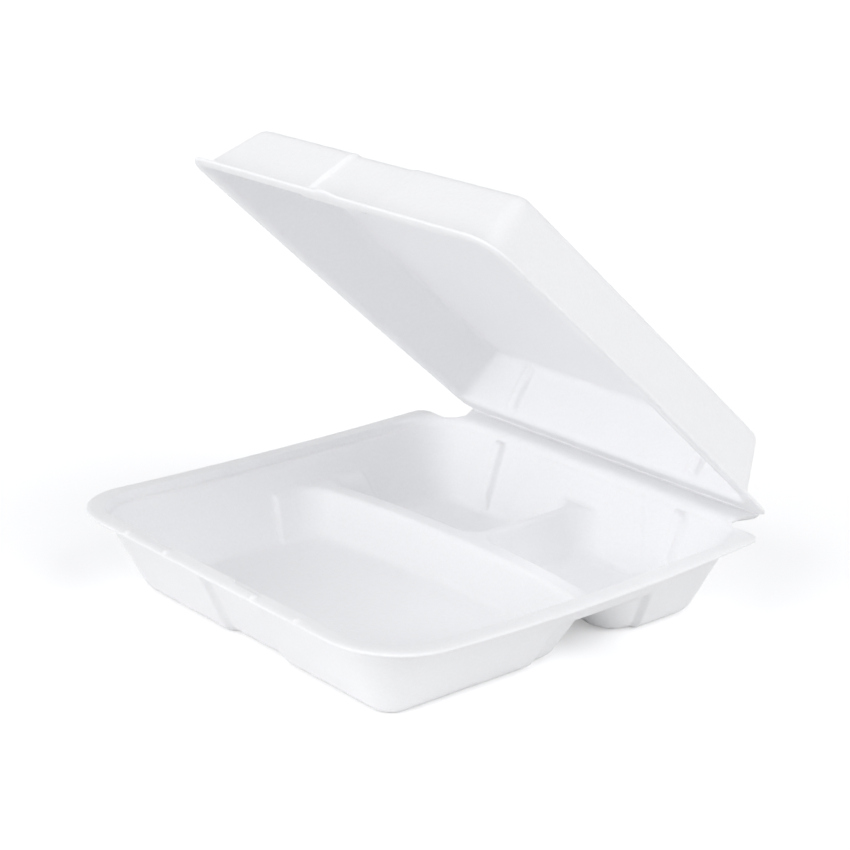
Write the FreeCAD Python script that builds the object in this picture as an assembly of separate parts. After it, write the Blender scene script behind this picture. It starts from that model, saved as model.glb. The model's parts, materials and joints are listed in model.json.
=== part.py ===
import FreeCAD, Part
import math
import os

# Foam clamshell container: one thermoformed sheet of white foam, pressed into a three-compartment
# tray and a domed lid, and folded along a thinned crease at the back.
# Frame: the table is z = 0, X runs along the hinge, the tray's front lip faces -Y.

# Driving dimensions, in millimetres and degrees.
sheet = 2.5                 # thickness of the foam sheet

rim_width = 241.0           # tray, across the rim's two sides
rim_depth = 224.0           # tray, from the front lip to the rim's back corners
rim_height = 42.4           # table to the top of the rim at its four corners
rim_sag = 3.0               # how far the middle of each side hangs below its corners
side_bow = 2.5              # how far the middle of each side bulges outwards at the rim
floor_bow = 0.5             # the same at the floor
rim_front_radius = 36.0     # front corners, in plan
rim_back_radius = 6.0       # back corners, in plan
flange_width = 9.0          # flat lip around the rim
lip_round = 0.9             # rounding of a lip's outer edge
step_drop = 4.0             # the lip's inner edge drops this far to a ledge
ledge_width = 2.5           # narrow shelf inside the lip

side_draft = 26.8           # lean of each wall of the tray from upright
front_draft = 26.0
back_draft = 18.6
back_wall_reach = 4.5       # the back wall's inner face at rim height, behind the rim's back corners
tub_front_radius = 7.0      # plan radius inside the tray's corners at the table's level
tub_back_radius = 14.0
tub_rim_radius = 25.0       # the same at rim height
floor_round = 6.0           # inside rounding between walls and floor
corner_round = 11.0         # inside rounding where dividers meet the walls and each other

crest_height = 24.0         # table to the dividers' crest
crest_round = 2.5           # rounding of the crest's edges
mouth_lead = 1.0            # straight wall kept above a compartment's rounded mouth
main_crest_width = 10.0     # across the sharp edges, before rounding
rear_room = 79.0            # from the middle of the main divider's crest to the back wall at rim height
main_bow_radius = 544.0     # the main divider curves gently to the back
main_front_draft = 22.0
main_back_draft = 28.0
second_crest_width = 6.0
second_draft = 28.0

panel_depth = 3.0           # shallow recesses pressed into the walls
panel_step = 4.0            # run of the sloping step at each end of a recess
front_panel_half = 20.0     # half length of the recess in both front walls
side_panel_ahead = 41.5     # the side walls step in around the main divider's groove
side_panel_behind = 16.5
side_panel_lean = 14.0      # lean of the side recess's ends

flute_x = 64.0              # stiffening flutes in both back walls, left and right
flute_radius = 4.0
flute_proud = 1.8           # how far a flute stands out of the wall's inner face
flute_low = 9.0             # lower end of the tray's flutes above the table
lid_flute_low = 4.0         # lower end of the lid's flutes above its rim
lid_flute_top = 6.0         # upper end below the crown

hinge_inset = 18.5          # the crease ends this far inside the rim's back corners
hinge_reach = 18.9          # the crease lies this far behind them
hinge_gap = 0.3             # slit that the crease leaves between tray and lid
crease_sheet = 1.2          # the sheet is pressed this thin along the crease
crease_run = 5.0            # width of the thinned band on each side of the crease
neck_side = 4.0             # the relief at each end of the strip is centred this far outside it

lid_setback = 5.3           # the closed lid's lip stops this far behind the tray's
lid_bow = 3.3               # bulge of the lid's sides at its rim
lid_wall_bow = 2.0          # the same for its side walls
lid_front_radius = 16.0
lid_back_radius = 4.6       # the lid's rim is wider than its crease by this on each side
lid_flange = 8.0
lid_height = 31.9           # crown above the underside of the lid's rim
lid_side_draft = 17.9
lid_front_draft = 21.8
lid_back_draft = 10.5
lid_back_foot = 10.5        # crease to the foot of the lid's back wall
lid_crown_round = 6.0       # outside rounding around the crown
lid_corner_radius = 11.0    # plan radius of the lid's corners inside
lid_open = 41.8             # the lid stands open by this angle

lock_rib_near = 33.0        # pinched ribs on the front lip, either side of the middle
lock_rib_far = 64.0
lock_rib_radius = 1.5
lock_rib_proud = 1.1
lock_clearance = 0.5        # from a pinched rib to the closed lid's lip and to the lip's own edge
tab_half = 8.0              # thumb tab in the middle of the lid's front lip
tab_reach = 2.5

overrun = 20.0              # how far a cutting shape runs past what it cuts

# Places that follow from the sizes above.
front_y = -rim_depth / 2
back_y = rim_depth / 2
hinge_y = back_y + hinge_reach
hinge_half = rim_width / 2 - hinge_inset
neck_x = hinge_half + neck_side
neck_radius = hinge_reach / 2
lid_width = 2 * (hinge_half + lid_back_radius)
tray_back_y = hinge_y - hinge_gap
inner_half = rim_width / 2 - flange_width            # the lip's inner edge
inner_front = front_y + flange_width
back_wall_edge = back_y + back_wall_reach
main_crest_y = back_wall_edge - rear_room
ledge_z = rim_height - step_drop
groove_top = crest_height - sheet
crease_z = rim_height + hinge_gap / 2
lid_z = rim_height + hinge_gap                       # underside of the closed lid's rim
lid_front_y = front_y + lid_setback
lid_top = lid_z + lid_height


def tan(degrees):
    return math.tan(math.radians(degrees))


def cos(degrees):
    return math.cos(math.radians(degrees))


def sin(degrees):
    return math.sin(math.radians(degrees))


def vec(x, y, z=0.0):
    return FreeCAD.Vector(x, y, z)


def line(a, b):
    return Part.LineSegment(a, b).toShape()


def arc(a, middle, b):
    return Part.Arc(a, middle, b).toShape()


def corner(centre, radius, start):
    """Quarter circle about centre, counter-clockwise from the angle start."""
    return arc(*[centre + vec(radius * cos(start + turn), radius * sin(start + turn)) for turn in (0, 45, 90)])


def rounded_outline(half, y_front, y_back, r_front, r_back, bow, z):
    """Closed plan outline at height z, symmetric about X = 0, with both sides bowed outwards."""
    front, back = y_front + r_front, y_back - r_back
    middle = (front + back) / 2
    return Part.Wire([
        line(vec(-half + r_front, y_front, z), vec(half - r_front, y_front, z)),
        corner(vec(half - r_front, front, z), r_front, -90),
        arc(vec(half, front, z), vec(half + bow, middle, z), vec(half, back, z)),
        corner(vec(half - r_back, back, z), r_back, 0),
        line(vec(half - r_back, y_back, z), vec(-half + r_back, y_back, z)),
        corner(vec(-half + r_back, back, z), r_back, 90),
        arc(vec(-half, back, z), vec(-half - bow, middle, z), vec(-half, front, z)),
        corner(vec(-half + r_front, front, z), r_front, 180),
    ])


def polygon(points):
    return Part.makePolygon([vec(*point) for point in points] + [vec(*points[0])])


def loft(low, high):
    return Part.makeLoft([low, high], True, True)


def extrude(wire, travel):
    return Part.Face(wire).extrude(travel)


def mirrored(shape):
    """The shape and its image on the other side of X = 0."""
    return [shape, shape.mirror(vec(0, 0, 0), vec(1, 0, 0))]


def sharp_edges(shape, test, least=25.0):
    """The edges that pass the test and where two faces meet at more than a slight angle."""
    beside = {}
    for face in shape.Faces:
        for edge in face.Edges:
            beside.setdefault(edge.hashCode(), (edge, []))[1].append(face)
    found = []
    for edge, faces in beside.values():
        if len(faces) == 2 and test(edge.BoundBox):
            middle = edge.valueAt((edge.FirstParameter + edge.LastParameter) / 2)
            normals = [face.normalAt(*face.Surface.parameter(middle)) for face in faces]
            if math.degrees(normals[0].getAngle(normals[1])) > least:
                found.append(edge)
    return found


def level_edges(shape, z):
    """The edges that lie in the plane at height z."""
    slack = 0.01
    return [edge for edge in shape.Edges if edge.BoundBox.ZMax < z + slack and edge.BoundBox.ZMin > z - slack]


def rim_layer(top, bottom):
    """All space between two copies of the sagging rim, top and bottom counted up from the rim's top."""
    x = -rim_width
    def profile(shift):
        z = rim_height + shift
        return (vec(x, front_y - overrun, z), vec(x, front_y, z), vec(x, 0, z - rim_sag),
                vec(x, back_y, z), vec(x, hinge_y + overrun, z))
    above, below = profile(top), profile(bottom)
    section = Part.Wire([
        line(above[0], above[1]), arc(*above[1:4]), line(above[3], above[4]), line(above[4], below[4]),
        line(below[4], below[3]), arc(*reversed(below[1:4])), line(below[1], below[0]), line(below[0], above[0]),
    ])
    return extrude(section, vec(2 * rim_width, 0, 0))


def wall_half(grow, z):
    """Half width between the tray's side walls at height z, their inner faces moved outwards by grow."""
    return inner_half - ledge_width - (ledge_z - z) * tan(side_draft) + grow / cos(side_draft)


def wall_front(grow, z):
    """The same for the y of the tray's front wall."""
    return inner_front + ledge_width + (ledge_z - z) * tan(front_draft) - grow / cos(front_draft)


def wall_back(grow, z):
    """The same for the y of the tray's back wall."""
    return back_wall_edge - (rim_height - z) * tan(back_draft) + grow / cos(back_draft)


def lengthwise(y_front, y_back, low, high):
    """Space between a leaning front wall and a leaning back wall, whose faces are at y_front(z) and y_back(z)."""
    section = [(-rim_width, y_front(low), low), (-rim_width, y_back(low), low),
               (-rim_width, y_back(high), high), (-rim_width, y_front(high), high)]
    return extrude(polygon(section), vec(2 * rim_width, 0, 0))


def slab(low, high):
    """All space between two heights."""
    return Part.makeBox(2 * rim_width, 2 * rim_width, high - low, vec(-rim_width, -rim_width, low))


def tub(grow, low, high):
    """The space between the tray's four leaning walls."""
    def outline(z):
        share = z / rim_height
        r_front = tub_front_radius + (tub_rim_radius - tub_front_radius) * share + grow
        r_back = tub_back_radius + (tub_rim_radius - tub_back_radius) * share + grow
        bow = floor_bow + (side_bow - floor_bow) * share
        return rounded_outline(wall_half(grow, z), wall_front(grow, z), wall_back(grow, z), r_front, r_back, bow, z)
    between = lengthwise(lambda z: wall_front(grow, z), lambda z: wall_back(grow, z), low, high)
    return between.common(loft(outline(low), outline(high)))


def main_divider_cone(side, draft, grow, low, high):
    """Upright cone frustum whose flank is the front (-1) or back (1) face of the bowed main divider."""
    def radius(z):
        reach = main_crest_width / 2 + (crest_height - z) * tan(draft) - grow / cos(draft)
        return main_bow_radius + side * reach
    return Part.makeCone(radius(low), radius(high), high - low, vec(0, main_crest_y - main_bow_radius, low))


def second_divider_wedge(grow, low, high):
    """Wedge along Y whose flanks are the second divider's faces."""
    def half(z):
        return second_crest_width / 2 + (crest_height - z) * tan(second_draft) - grow / cos(second_draft)
    y = main_crest_y - main_crest_width
    section = [(-half(low), y, low), (half(low), y, low), (half(high), y, high), (-half(high), y, high)]
    return extrude(polygon(section), vec(0, hinge_y, 0))


def side_panels(grow, low, high):
    """What the shallow recesses take off the side walls, around the main divider's ends."""
    def outline(z):
        inner = wall_half(grow, z) - panel_depth
        outer = inner + overrun
        spread = panel_step * overrun / panel_depth
        lean = z * tan(side_panel_lean)
        near, far = main_crest_y - side_panel_ahead + lean, main_crest_y + side_panel_behind - lean
        return polygon([(inner, near, z), (outer, near - spread, z), (outer, far + spread, z), (inner, far, z)])
    return mirrored(loft(outline(low), outline(high)))


def front_panel(wall_y, low, high):
    """What a shallow recess takes off the middle of a front wall, whose face is at wall_y(z)."""
    def outline(z):
        inner = wall_y(z) + panel_depth
        outer = inner - overrun
        half = front_panel_half
        spread = half + panel_step * overrun / panel_depth
        return polygon([(-spread, outer, z), (spread, outer, z), (half, inner, z), (-half, inner, z)])
    return loft(outline(low), outline(high))


def flutes(grow, low, high):
    """Rounded ribs on both sides, along the line from low to high on a wall's inner face, thinned by grow."""
    sink = vec(0, flute_radius - flute_proud)
    foot, run = low + sink, high - low
    rib = Part.makeCylinder(flute_radius - grow, run.Length, foot, run)
    ends = [Part.makeSphere(flute_radius - grow, point) for point in (foot, foot + run)]
    return mirrored(rib.fuse(ends))


def rounded_pocket(pocket, grow):
    """Round a compartment's upright corners, then the edge around its floor."""
    tall = (crest_height - sheet) / 2
    pocket = pocket.makeFillet(corner_round + grow, sharp_edges(pocket, lambda box: box.ZLength > tall))
    return pocket.makeFillet(floor_round + grow, level_edges(pocket, sheet - grow))


def flared_pocket(pocket):
    """Round the dividers' crest edges around a compartment's mouth; the walls above stay straight."""
    joined = pocket.fuse(slab(crest_height, crest_height + mouth_lead))
    mouth = [edge for edge in level_edges(joined, crest_height) if abs(edge.BoundBox.Center.x) < rim_width / 2
             and edge.BoundBox.XLength < rim_width]
    return joined.makeFillet(crest_round, mouth).common(tub(0, sheet, crest_height + mouth_lead))


def pockets(grow, high):
    """The three compartments below the dividers' crest, their faces moved outwards by grow."""
    low = sheet - grow
    body = tub(grow, low, high)
    front = body.common(main_divider_cone(-1, main_front_draft, grow, low, high))
    rear = body.cut(main_divider_cone(1, main_back_draft, grow, low, high))
    rear = rear.cut(second_divider_wedge(grow, low, high))
    return [rounded_pocket(solid, grow) for solid in front.Solids + rear.Solids]


def tray_skin(grow, hollows, top, crest):
    """One face of the sheet from the compartments' floors up to the ledge, with its recesses and flutes."""
    skin = hollows[0].fuse(hollows[1:]).fuse(tub(grow, top, ledge_z))
    skin = skin.cut(side_panels(grow, -overrun, crest))
    skin = skin.cut(front_panel(lambda z: wall_front(grow, z), -overrun, rim_height + overrun))
    foot = vec(flute_x, wall_back(0, flute_low), flute_low)
    head = vec(flute_x, wall_back(0, rim_height), rim_height)
    return skin.cut(flutes(grow, foot, head))


def collar(grow):
    """Plan of the step inside the lip, moved outwards by grow, as a tall solid."""
    outline = rounded_outline(inner_half + grow, inner_front - grow, back_wall_edge + grow,
                              rim_front_radius - flange_width + grow, tub_rim_radius + ledge_width + grow, side_bow, 0)
    return extrude(outline, vec(0, 0, rim_height + overrun))


def lip():
    """The flat lip around the tray with the strip that runs back to the crease."""
    half, front, back = rim_width / 2, front_y + rim_front_radius, back_y - rim_back_radius
    neck_y = back_y + neck_radius
    turn = math.degrees(math.acos((neck_x - hinge_half) / neck_radius))
    side = [
        corner(vec(half - rim_front_radius, front), rim_front_radius, -90),
        arc(vec(half, front), vec(half + side_bow, (front + back) / 2), vec(half, back)),
        corner(vec(half - rim_back_radius, back), rim_back_radius, 0),
        line(vec(half - rim_back_radius, back_y), vec(neck_x, back_y)),
        arc(vec(neck_x, back_y), vec(neck_x - neck_radius, neck_y),
            vec(hinge_half, neck_y + neck_radius * sin(turn))),
        line(vec(hinge_half, neck_y + neck_radius * sin(turn)), vec(hinge_half, tray_back_y)),
    ]
    other = [edge.mirror(vec(0, 0, 0), vec(1, 0, 0)) for edge in side]
    ends = [line(vec(-half + rim_front_radius, front_y), vec(half - rim_front_radius, front_y)),
            line(vec(-hinge_half, tray_back_y), vec(hinge_half, tray_back_y))]
    plan = Part.Wire(Part.__sortEdges__(side + other + ends))
    plate = extrude(plan, vec(0, 0, rim_height + overrun)).common(rim_layer(0, -sheet))
    return plate.cut(crease_relief(tray_back_y, rim_height - sheet, sheet - crease_sheet))


def crease_relief(edge_y, z, rise):
    """Wedge that thins a hinge strip towards its crease; z is the strip's outer face there."""
    wedge = extrude(polygon([(0, edge_y - crease_run, z), (0, edge_y, z), (0, edge_y, z + rise)]),
                    vec(2 * rim_width, 0, 0))
    wedge.translate(vec(-rim_width, 0, 0))
    return wedge


def lock_ribs():
    """Pinched ribs on the front lip, just clear of the closed lid."""
    z = rim_height + lock_rib_proud - lock_rib_radius
    y_near = lid_front_y - lock_clearance - lock_rib_radius
    y_far = front_y + lock_clearance + lock_rib_radius
    ribs = []
    for x in (lock_rib_near, lock_rib_far):
        bar = Part.makeCylinder(lock_rib_radius, y_near - y_far, vec(x, y_far, z), vec(0, 1, 0))
        ends = [Part.makeSphere(lock_rib_radius, vec(x, y, z)) for y in (y_near, y_far)]
        ribs += mirrored(bar.fuse(ends))
    return ribs


def tray():
    """The three-compartment tray with its lip, ledge and hinge strip."""
    outside = tray_skin(sheet, pockets(sheet, groove_top), groove_top, groove_top)
    frame = collar(sheet).common(rim_layer(0, -step_drop - sheet))
    outside = outside.fuse([frame, lip()] + lock_ribs())
    mouths = [flared_pocket(pocket) for pocket in pockets(0, crest_height)]
    inside = tray_skin(0, mouths, crest_height + mouth_lead, crest_height)
    inside = inside.fuse(collar(0).common(rim_layer(overrun, -step_drop)))
    return outside.cut(inside)


def crown_front(grow, z):
    """The y of the lid's front wall at height z, its inner face moved outwards by grow."""
    return lid_front_y + lid_flange + (z - lid_z) * tan(lid_front_draft) - grow / cos(lid_front_draft)


def crown_back(grow, z):
    """The same for the lid's back wall."""
    return hinge_y - lid_back_foot - (z - lid_z) * tan(lid_back_draft) + grow / cos(lid_back_draft)


def bowed_block(half, y_front, y_back, low, high):
    """Space between the lid's four leaning walls: flat in front and behind, bowed at the sides.

    half, y_front and y_back give each wall's place at a height. The sides are parts of upright cones.
    """
    block = lengthwise(y_front, y_back, low, high)
    run, middle = (y_back(high) - y_front(high)) / 2, (y_back(high) + y_front(high)) / 2
    radius = (run ** 2 + lid_wall_bow ** 2) / (2 * lid_wall_bow)
    for side in (-1, 1):
        centre = vec(-side * (radius - lid_wall_bow - half(high)), middle, low)
        block = block.common(Part.makeCone(radius + half(low) - half(high), radius, high - low, centre))
    return block


def crown(grow, low):
    """One face of the lid's dome from low to the crown, with its front recess and back flutes."""
    high = lid_top - sheet + grow
    def half(z):
        return lid_width / 2 - lid_flange - (z - lid_z) * tan(lid_side_draft) + grow / cos(lid_side_draft)
    dome = bowed_block(half, lambda z: crown_front(grow, z), lambda z: crown_back(grow, z), low, high)
    corners = sharp_edges(dome, lambda box: box.ZLength > lid_height / 2)
    dome = dome.makeFillet(lid_corner_radius + grow, corners)
    dome = dome.makeFillet(lid_crown_round - sheet + grow, level_edges(dome, high))
    dome = dome.cut(front_panel(lambda z: crown_front(grow, z), low - overrun, high + overrun))
    low_z, high_z = lid_z + lid_flute_low, lid_top - lid_flute_top
    foot, head = vec(flute_x, crown_back(0, low_z), low_z), vec(flute_x, crown_back(0, high_z), high_z)
    return dome.cut(flutes(grow, foot, head))


def lid():
    """The domed lid, built closed over the tray and then swung open about the crease."""
    plan = rounded_outline(lid_width / 2, lid_front_y, tray_back_y, lid_front_radius, lid_back_radius, lid_bow, lid_z)
    tab_radius = (tab_half ** 2 + tab_reach ** 2) / (2 * tab_reach)
    tab = Part.makeCylinder(tab_radius, sheet, vec(0, lid_front_y - tab_reach + tab_radius, lid_z))
    plate = extrude(plan, vec(0, 0, sheet)).fuse(tab).removeSplitter()
    edges = sharp_edges(plate, lambda box: box.ZLength < sheet / 2 and box.YMin < back_y - lip_round)
    plate = plate.makeFillet(lip_round, edges)
    plate = plate.cut(crease_relief(tray_back_y, lid_z + sheet, crease_sheet - sheet))
    shell = plate.fuse(crown(sheet, lid_z)).cut(crown(0, lid_z - sheet))
    shell.rotate(vec(0, hinge_y, crease_z), vec(1, 0, 0), -lid_open)
    return shell


if __name__ == "__main__":
    os.makedirs("parts", exist_ok=True)
    tray().exportStep("parts/tray.step")
    lid().exportStep("parts/lid.step")
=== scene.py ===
"""Foam clamshell container: a three-compartment tray and its domed lid, half open on a white studio floor."""

import json
import math
from functools import partial

import bpy
import numpy as np
from bpy.props import FloatProperty, FloatVectorProperty, PointerProperty
from mathutils import Matrix, Vector


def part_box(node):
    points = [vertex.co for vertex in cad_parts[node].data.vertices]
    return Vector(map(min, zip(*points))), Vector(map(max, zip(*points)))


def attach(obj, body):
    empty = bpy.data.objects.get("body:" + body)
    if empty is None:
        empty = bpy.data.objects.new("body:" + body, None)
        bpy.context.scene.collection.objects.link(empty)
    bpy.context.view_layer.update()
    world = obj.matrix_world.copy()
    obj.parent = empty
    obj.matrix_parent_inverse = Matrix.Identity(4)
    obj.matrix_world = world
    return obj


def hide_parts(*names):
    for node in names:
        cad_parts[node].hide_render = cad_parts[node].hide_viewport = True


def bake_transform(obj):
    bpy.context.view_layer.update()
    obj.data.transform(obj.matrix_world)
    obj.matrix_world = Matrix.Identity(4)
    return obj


bl_info = {
    "name": "Foam clamshell",
    "version": (1, 0, 0),
    "blender": (4, 5, 0),
    "location": "View3D > Sidebar > Clamshell",
    "description": "Builds a thermoformed foam clamshell with three compartments and a domed lid",
    "category": "Object",
}

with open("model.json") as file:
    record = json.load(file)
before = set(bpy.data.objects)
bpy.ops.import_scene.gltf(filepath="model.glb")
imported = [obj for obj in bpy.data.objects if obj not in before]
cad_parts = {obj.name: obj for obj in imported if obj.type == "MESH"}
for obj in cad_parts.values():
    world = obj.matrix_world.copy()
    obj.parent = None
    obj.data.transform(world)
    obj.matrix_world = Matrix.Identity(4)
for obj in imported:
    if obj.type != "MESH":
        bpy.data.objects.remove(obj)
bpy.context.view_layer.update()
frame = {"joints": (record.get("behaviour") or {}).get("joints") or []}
crease = next(joint for joint in frame["joints"] if joint["name"] == "crease")
tray_low, tray_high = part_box("tray")

MM = 0.001

# Sizes in millimetres and degrees, in the frame's axes: the table is z = 0 and the hinge is at +Y.

# The tray.
SHEET = 2.5  # thickness of the foam
RIM_Z = 42.4  # table to the top of the rim at its corners
RIM_HALF = 120.5  # half the rim's width at its front and back
FRONT_Y = tray_low.y / MM
BACK_Y = 112.0  # the rim's back corners
SIDE_BOW = 2.5  # bulge of each side at the rim
FLOOR_BOW = 0.5  # the same at the table's level
FRONT_RADIUS = 36.0  # the rim's corners in plan
BACK_RADIUS = 6.0
FLANGE = 9.0  # width of the flat lip
STEP = 4.0  # drop from the lip to the ledge inside it
LEDGE = 2.5  # width of that ledge
LEDGE_Z = RIM_Z - STEP
COLLAR_BACK_RADIUS = 27.5  # back corners of the step inside the lip
SIDE_DRAFT = 26.8  # lean of the walls from upright
FRONT_DRAFT = 26.0
BACK_DRAFT = 18.6
BACK_EDGE = 116.5  # inner face of the back wall at rim height
DIVIDER_Y = 37.5  # middle of the main divider's crest
DIVIDER_BOW = 544.0  # radius of the main divider's curve in plan
DIVIDER_HALF = 5.0  # half the crest's width before rounding
DIVIDER_FRONT_DRAFT = 22.0
DIVIDER_BACK_DRAFT = 28.0
SECOND_HALF = 3.0  # the same for the second divider
SECOND_DRAFT = 28.0
FRONT_PANEL_HALF = 20.0  # half the length of the recess in the front walls
FRONT_PANEL_EASE = (-1.0, 3.0)  # where the tray's recess begins and ends to fade, from that length
SIDE_PANEL_FRONT = -4.5  # front end of the side walls' recess at the table
SIDE_PANEL_FRONT_LEAN = 14.0  # lean of that end
SIDE_PANEL_BACK = 61.0  # rear end and its lean
SIDE_PANEL_BACK_LEAN = 12.0
SIDE_PANEL_TOP = (20.5, 24.5)  # heights between which the recess fades out
PANEL_STEP = 1.5  # run of the step at a recess's end
FLUTE_X = 64.0  # flutes from the middle of the back walls
FLUTE_HALF = 4.4
FLUTE_FLAT = 0.4  # share of the half width that is flat
FLUTE_FOOT = (6.0, 12.0)  # heights between which a flute grows out of the wall
REAR_SHIFT = 3.5  # the second divider and the flutes stand this far right of the middle
# Slanting folds of the back wall: side of the middle, X at FOLD_Z, run in X per height, and depth.
FOLDS = ((1, 42.0, 0.37, 0.9), (-1, 29.0, 0.54, 0.6))
FOLD_Z = 38.0
FOLD_FOOT = (4.0, 10.0)  # heights between which a fold grows
FOLD_RISE = 9.0  # run of the gentle and of the sharp side
FOLD_DROP = 1.2
CORNER = 11.0  # inside rounding between dividers and walls
DIVIDER_CORNER = 9.0  # and between the two dividers
FLOOR_CORNERS = (7.0, 14.0)  # plan radius of the front and back corners at the table
RIM_CORNER = 25.0  # and of both at rim height
WALL_LEAN = 24.0  # middle lean of the walls, which turns plan distance into true distance
FLOOR_MEET = 25.0  # middle angle between walls and floor, less 90
STEP_LEAN = 12.0  # lean of the step's face
STEP_FOOT_ROUND = 0.8
LIP_TOP_ROUND = 0.9  # rounding from the lip into the step
REAR_ROLL = 2.6  # how much rounder the back edge is
REAR_ROLL_SPAN = (70.0, 94.0)  # Y between which it gets rounder
LOCK_RIBS = (33.0, 64.0)  # pinched ribs, from the middle
LOCK_RIB_SPAN = (-110.0, -108.7)  # their ends in Y
LOCK_RIB_RADIUS = 1.5
LOCK_RIB_PROUD = 1.1
LOCK_SCALLOPS = ((-43.0, 8.5), (21.0, 11.0))  # middle and half length of each scallop
LOCK_SCALLOP_REACH = 2.2  # how far they swing out
LOCK_SCALLOP_FLAT = 0.7
LOCK_SCALLOP_BACK = -60.0  # only in front of this Y

# The crease.
CREASE_Y = crease["pos_m"][1] / MM
CREASE_Z = crease["pos_m"][2] / MM
CREASE_SHEET = 1.2  # thickness left at the crease
CREASE_RUN = 5.0  # width of the thinned band on each side
TRAY_BACK_Y = tray_high.y / MM
HINGE_HALF = 102.0  # half the crease's length
NECK_RADIUS = (CREASE_Y - BACK_Y) / 2
NECK_X = 106.0  # middle of the round relief at the crease's end
NECK_START = 110.0  # where the straight back edge begins beside it
OPEN_ANGLE = -crease["range_deg"][0]

# The lid, shut.
LID_Z = 2 * CREASE_Z - RIM_Z  # underside of the closed lid's rim
LID_HALF = 106.6  # half its width
LID_FRONT_Y = -106.7
LID_FLANGE = 8.0
LID_HEIGHT = 31.9  # rim's underside to crown
LID_TOP = LID_Z + LID_HEIGHT
LID_SIDE_DRAFT = 17.9
LID_FRONT_DRAFT = 21.8
LID_BACK_DRAFT = 10.5
LID_FOOT_Y = CREASE_Y - 10.5  # foot of the lid's back wall
LID_BOW = 3.3  # bulge of the lid's sides at the rim
LID_CROWN_BOW = 1.0  # and at the crown
LID_FRONT_RADIUS = 16.0
LID_BACK_RADIUS = 4.6
LID_FOOT_RADIUS = 8.0  # plan radius of the dome's corners at the rim
LID_CROWN_RADIUS = 6.0  # and at the crown
LID_FOOT_RING = 12.5  # corner radius of the mesh's ring at the dome's foot
LID_FOOT_INSET = 4.0  # that ring's distance outside the foot
LID_WALL_LEAN = 18.0  # middle lean of the dome's walls
LID_MEET = 17.0  # middle angle between walls and crown, less 90
LID_FOOT_ROUND = 1.6  # rounding between the dome and the lip
LID_FLUTE_FOOT = (2.0, 5.0)  # heights between which the lid's flutes grow
LID_FLUTE_TOP = (21.0, 26.0)  # and fade again
LID_LIP_SPARE = 0.2  # the lip ring lies up to this much further out at the back
TAB_HALF = 9.0  # half the thumb tab's length

# Heights between which the sheets' faces are looked for.
TRAY_SPAN = (-6.0, 60.0)
LID_SPAN = (LID_Z - 6.0, LID_TOP + 6.0)

# Lines and rings of the meshes, as runs of (start, end, step): they crowd at fillets, panels and flutes.
TRAY_COLUMNS = ((0, 15, 0.9), (15, 19, 1.3), (19, 22.5, 0.44), (22.5, 31, 1.7), (31, 35, 0.5), (35, 40, 1.7),
                (40, 55, 1.5), (55, 73, 0.75), (73, 80, 1.2))
TRAY_ROWS = ((-72, -60, 1.2), (-60, -10, 2.5), (-10, 8, 0.8), (8, 12, 1.3), (12, 44, 0.9), (44, 66, 1.0),
             (66, 80, 2.0), (80, 92, 1.2))
TRAY_INNER_RINGS = ((0, 0.15, 0.05), (0.15, 0.5, 0.029), (0.5, 0.88, 0.048), (0.88, 1.0, 0.017))
TRAY_LIP_RINGS = (0.03, 0.08, 0.14, 0.25, 0.4, 0.46, 0.53)
LID_COLUMNS = ((0, 18, 2.0), (18, 23, 0.5), (23, 58, 2.7), (58, 68, 0.7), (68, 78, 0.55))
LID_ROWS = ((-76, -64, 0.7), (-64, 84, 2.8), (84, 98, 0.7))
LID_INNER_RINGS = ((0, 0.3, 0.06), (0.3, 0.94, 0.0215), (0.94, 1.0, 0.02))
LID_LIP_RINGS = (0.12,)
# How far in X and between which Y the plan lines run straight on to the lips.
TRAY_STRAIGHT = (70.0, -60.0, 80.0)
LID_STRAIGHT = (68.0, -64.0, 84.0)

LIP_REACH = 3.4  # the lips get thinner over this distance
LIP_THIN = 0.62  # by this much on each face
LIP_ROUND = 0.6  # rounding of the cut edge
# Distances from the cut edge of the mesh's outermost rings.
EDGE_INSETS = np.array([3.0, 2.3, 1.6, 1.0, 0.6, 0.36, 0.16, 0.04, 0.0])

# The studio.
FLOOR_REACH = 3000.0  # half the studio floor's side
LAMP_SPREAD = 45.0  # angle that a lamp fills in the sky
# Name, azimuth and elevation of the broad lamps; their strengths are in the studio's settings.
LAMPS = (("low", -4, 5), ("front", -10, 38), ("right", 105, 36))


def tan(degrees):
    return math.tan(math.radians(degrees))


def cos(degrees):
    return math.cos(math.radians(degrees))


def sin(degrees):
    return math.sin(math.radians(degrees))


def smooth(low, high, value):
    """0 below low, 1 above high, and 3t^2 - 2t^3 in between."""
    t = np.clip((value - low) / (high - low), 0.0, 1.0)
    return t * t * (3 - 2 * t)


def round_min(a, b, radius, dot=0.0):
    """The smaller of two distances to planes, with a rolling ball's fillet in the corner.

    a and b are distances into the free space and dot is the product of the planes' normals. The ball's centre
    lies at a = b = radius, and in the wedge between the normals the distance is radius minus that to the centre.
    """
    u, v = radius - a, radius - b
    wedge = (u - dot * v > 0) & (v - dot * u > 0)
    reach = np.sqrt(np.maximum(u * u + v * v - 2 * dot * u * v, 0) / (1 - dot * dot))
    return np.where(wedge, radius - reach, np.minimum(a, b))


def round_max(a, b, radius, dot=0.0):
    """The larger of two distances, with the outside corner rounded the same way."""
    return -round_min(-a, -b, radius, dot)


def rounded_box(x, y, half, front, back, r_front, r_back):
    """Plan distance inside a rounded rectangle: positive inside, measured square to its outline."""
    middle = (front + back) / 2
    radius = np.where(y > middle, r_back, r_front)
    qx = np.abs(x) - half + radius
    qy = np.abs(y - middle) - (back - front) / 2 + radius
    return radius - np.hypot(np.maximum(qx, 0), np.maximum(qy, 0)) - np.minimum(np.maximum(qx, qy), 0)


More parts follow.
